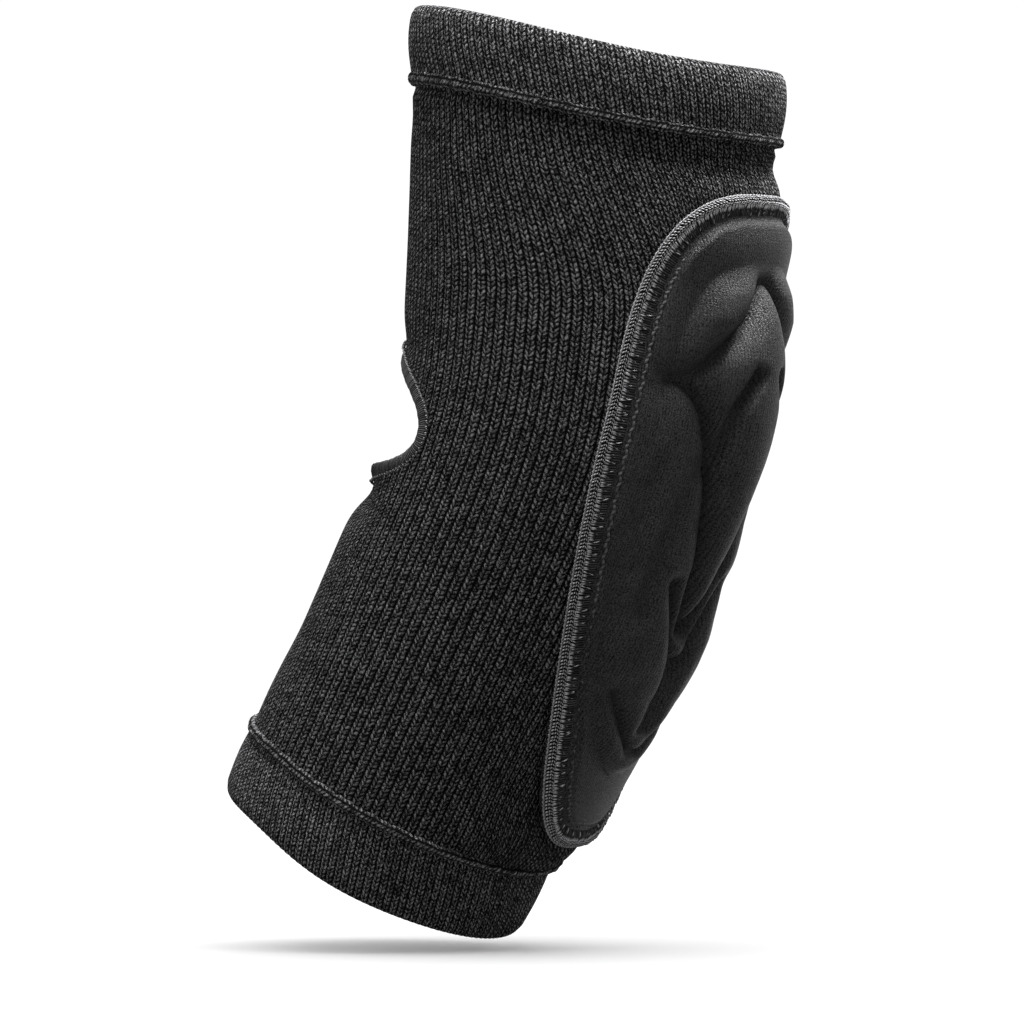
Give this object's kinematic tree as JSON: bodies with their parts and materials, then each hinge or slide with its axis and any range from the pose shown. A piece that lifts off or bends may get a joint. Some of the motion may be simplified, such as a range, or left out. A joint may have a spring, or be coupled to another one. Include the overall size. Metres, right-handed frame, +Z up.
{
  "type": "elbow pad",
  "caption": "Black ribbed knit compression sleeve for the elbow, with folded cuffs, an opening at the crook and a moulded foam pad overlocked into the back.",
  "frame": {"origin": "middle of the elbow, on the arm's axis", "axes": "+Z up the upper arm, +X to the back of the elbow where the pad is, Y along the elbow's bending axis"},
  "size_m": [0.1538, 0.0956, 0.2342],
  "materials": {
    "knit": "ribbed knit with a dry, matt surface",
    "seam_thread": "dense overlock thread with a faint sheen",
    "pad_cover": "smooth stretch jersey with a soft sheen",
    "lining": "plain matt jersey",
    "foam": "closed-cell foam"
  },
  "bodies": {
    "upper_arm": {"upper_cuff": "knit", "upper_cuff_seam": "seam_thread", "upper_sleeve_knit": "knit", "elbow_knit": "knit", "crook_opening_edge": "seam_thread", "pad_cover_upper": "pad_cover", "pad_lining_upper": "lining", "pad_seam_upper": "seam_thread", "foam_upper_block": "foam"},
    "forearm": {"forearm_sleeve_knit": "knit", "lower_cuff": "knit", "lower_cuff_seam": "seam_thread", "pad_cover_elbow": "pad_cover", "pad_cover_forearm": "pad_cover", "pad_lining_elbow": "lining", "pad_lining_forearm": "lining", "pad_seam_elbow_left": "seam_thread", "pad_seam_elbow_right": "seam_thread", "pad_seam_forearm": "seam_thread", "foam_centre_block": "foam", "foam_side_block_left": "foam", "foam_side_block_right": "foam", "foam_forearm_block_left": "foam", "foam_forearm_block_right": "foam", "foam_lower_block": "foam"}
  },
  "joints": [
    {"name": "elbow_flex", "type": "hinge", "parent": "upper_arm", "child": "forearm", "pos_m": [0.014, 0, 0], "axis": [0, 1, 0], "range_deg": [-28, 60], "stiffness_Nm_per_rad": 0.4, "deforming": ["elbow_knit", "crook_opening_edge", "pad_cover_elbow", "pad_lining_elbow", "pad_seam_elbow_left", "pad_seam_elbow_right", "foam_centre_block", "foam_side_block_left", "foam_side_block_right"]}
  ]
}
